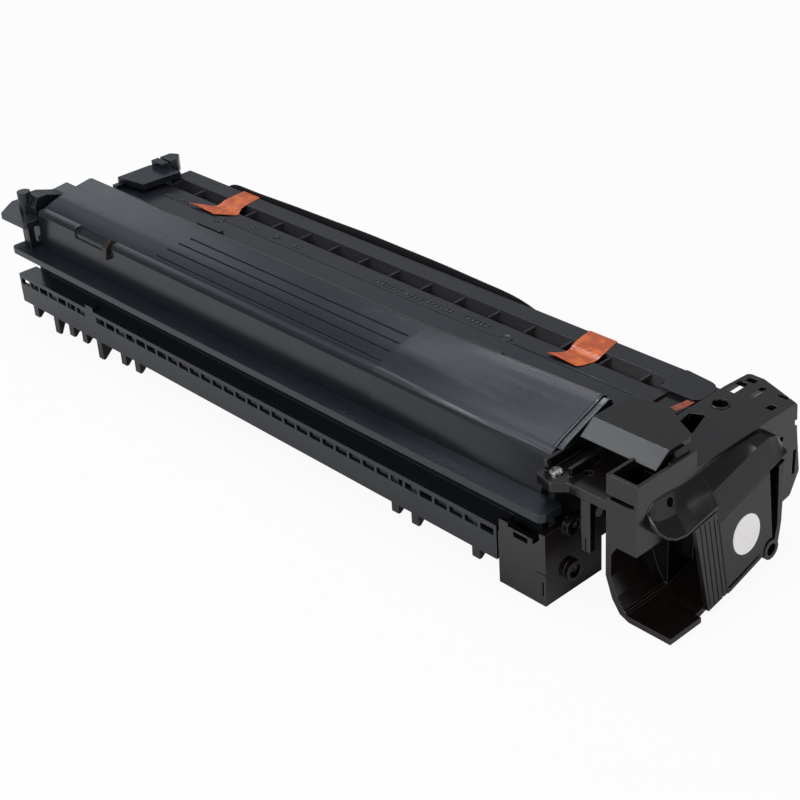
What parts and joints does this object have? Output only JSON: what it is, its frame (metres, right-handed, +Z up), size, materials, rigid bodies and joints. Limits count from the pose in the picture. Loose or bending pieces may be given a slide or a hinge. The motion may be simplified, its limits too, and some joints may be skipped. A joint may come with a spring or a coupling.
{
  "type": "toner and drum cartridge",
  "caption": "Long drum and developer cartridge for a colour printer, with laddered rail, ribbed cleaner deck, mixing screws, end plates and a scooped handle.",
  "frame": {"origin": "middle of the cartridge's length and width, on the surface it stands on", "axes": "+X along the drum to the handle end, +Y from the laddered rail to the drum side, +Z up"},
  "size_m": [0.4591, 0.12, 0.0728],
  "materials": {
    "housing_plastic": "satin",
    "handle_plastic": "semi-gloss",
    "inner_plastic": "matt",
    "gear_plastic": "satin",
    "steel": "brushed",
    "bright_steel": "polished",
    "drum_coat": "glossy",
    "sleeve_metal": "sand-blasted",
    "roller_rubber": "matt",
    "blade_rubber": "matt",
    "orange_tape": "glossy",
    "white_label": "matt",
    "black_film": "glossy",
    "brown_clip": "satin"
  },
  "bodies": {
    "frame": {"developer_housing": "housing_plastic", "developer_cover": "housing_plastic", "cleaner_housing": "housing_plastic", "near_end_cap": "handle_plastic", "inlet_block_cover": "handle_plastic", "near_top_bracket": "handle_plastic", "near_lower_bracket": "handle_plastic", "handle_frame": "handle_plastic", "handle_front_panel": "handle_plastic", "handle_hood": "handle_plastic", "near_bearing_plate": "inner_plastic", "far_bearing_plate": "inner_plastic", "gear_cover": "housing_plastic", "far_hook_arm": "housing_plastic", "far_guide_lug": "housing_plastic", "far_top_bar": "housing_plastic", "cover_pocket_clip": "brown_clip", "ridge_clips": "inner_plastic", "doctor_blade": "steel", "cleaning_blade_bracket": "steel", "cleaning_blade_lip": "blade_rubber", "charge_roller_holders": "gear_plastic", "magnet_core": "inner_plastic", "protective_sheet": "black_film", "tape_far": "orange_tape", "tape_mid": "orange_tape", "tape_near": "orange_tape", "label_disc": "white_label", "bracket_screw": "bright_steel"},
    "drum": {"drum_tube": "drum_coat", "drum_far_flange": "gear_plastic", "drum_near_flange": "gear_plastic", "drum_shaft": "steel", "drum_gear": "gear_plastic"},
    "charge_roller": {"charge_roller_core": "steel", "charge_roller_rubber": "roller_rubber"},
    "sleeve": {"developer_sleeve": "sleeve_metal", "sleeve_gear": "gear_plastic"},
    "rear_screw": {"rear_mixing_screw": "gear_plastic", "rear_screw_gear": "gear_plastic"},
    "front_screw": {"front_mixing_screw": "gear_plastic", "front_screw_gear": "gear_plastic"},
    "waste": {"waste_screw": "gear_plastic", "waste_screw_gear": "gear_plastic"}
  },
  "joints": [
    {"name": "drum_spin", "type": "hinge", "parent": "frame", "child": "drum", "pos_m": [0, 0.0279, 0.027], "axis": [1, 0, 0], "continuous": true},
    {"name": "charge_roller_spin", "type": "hinge", "parent": "frame", "child": "charge_roller", "pos_m": [0, 0.02438, 0.04801], "axis": [1, 0, 0], "continuous": true},
    {"name": "sleeve_spin", "type": "hinge", "parent": "frame", "child": "sleeve", "pos_m": [0, 0.00476, 0.02292], "axis": [1, 0, 0], "continuous": true},
    {"name": "rear_screw_spin", "type": "hinge", "parent": "frame", "child": "rear_screw", "pos_m": [0, -0.01622, 0.022], "axis": [1, 0, 0], "continuous": true},
    {"name": "front_screw_spin", "type": "hinge", "parent": "frame", "child": "front_screw", "pos_m": [0, -0.03562, 0.01997], "axis": [1, 0, 0], "continuous": true},
    {"name": "waste_screw_spin", "type": "hinge", "parent": "frame", "child": "waste", "pos_m": [0, 0.03632, 0.04733], "axis": [1, 0, 0], "continuous": true}
  ],
  "couplings": [
    {"joint": "charge_roller_spin", "follows": "drum_spin", "ratio": -2.5},
    {"joint": "sleeve_spin", "follows": "drum_spin", "ratio": -2.1333},
    {"joint": "rear_screw_spin", "follows": "drum_spin", "ratio": 1.1852},
    {"joint": "front_screw_spin", "follows": "drum_spin", "ratio": -2.6667},
    {"joint": "waste_screw_spin", "follows": "drum_spin", "ratio": -2.6667}
  ]
}
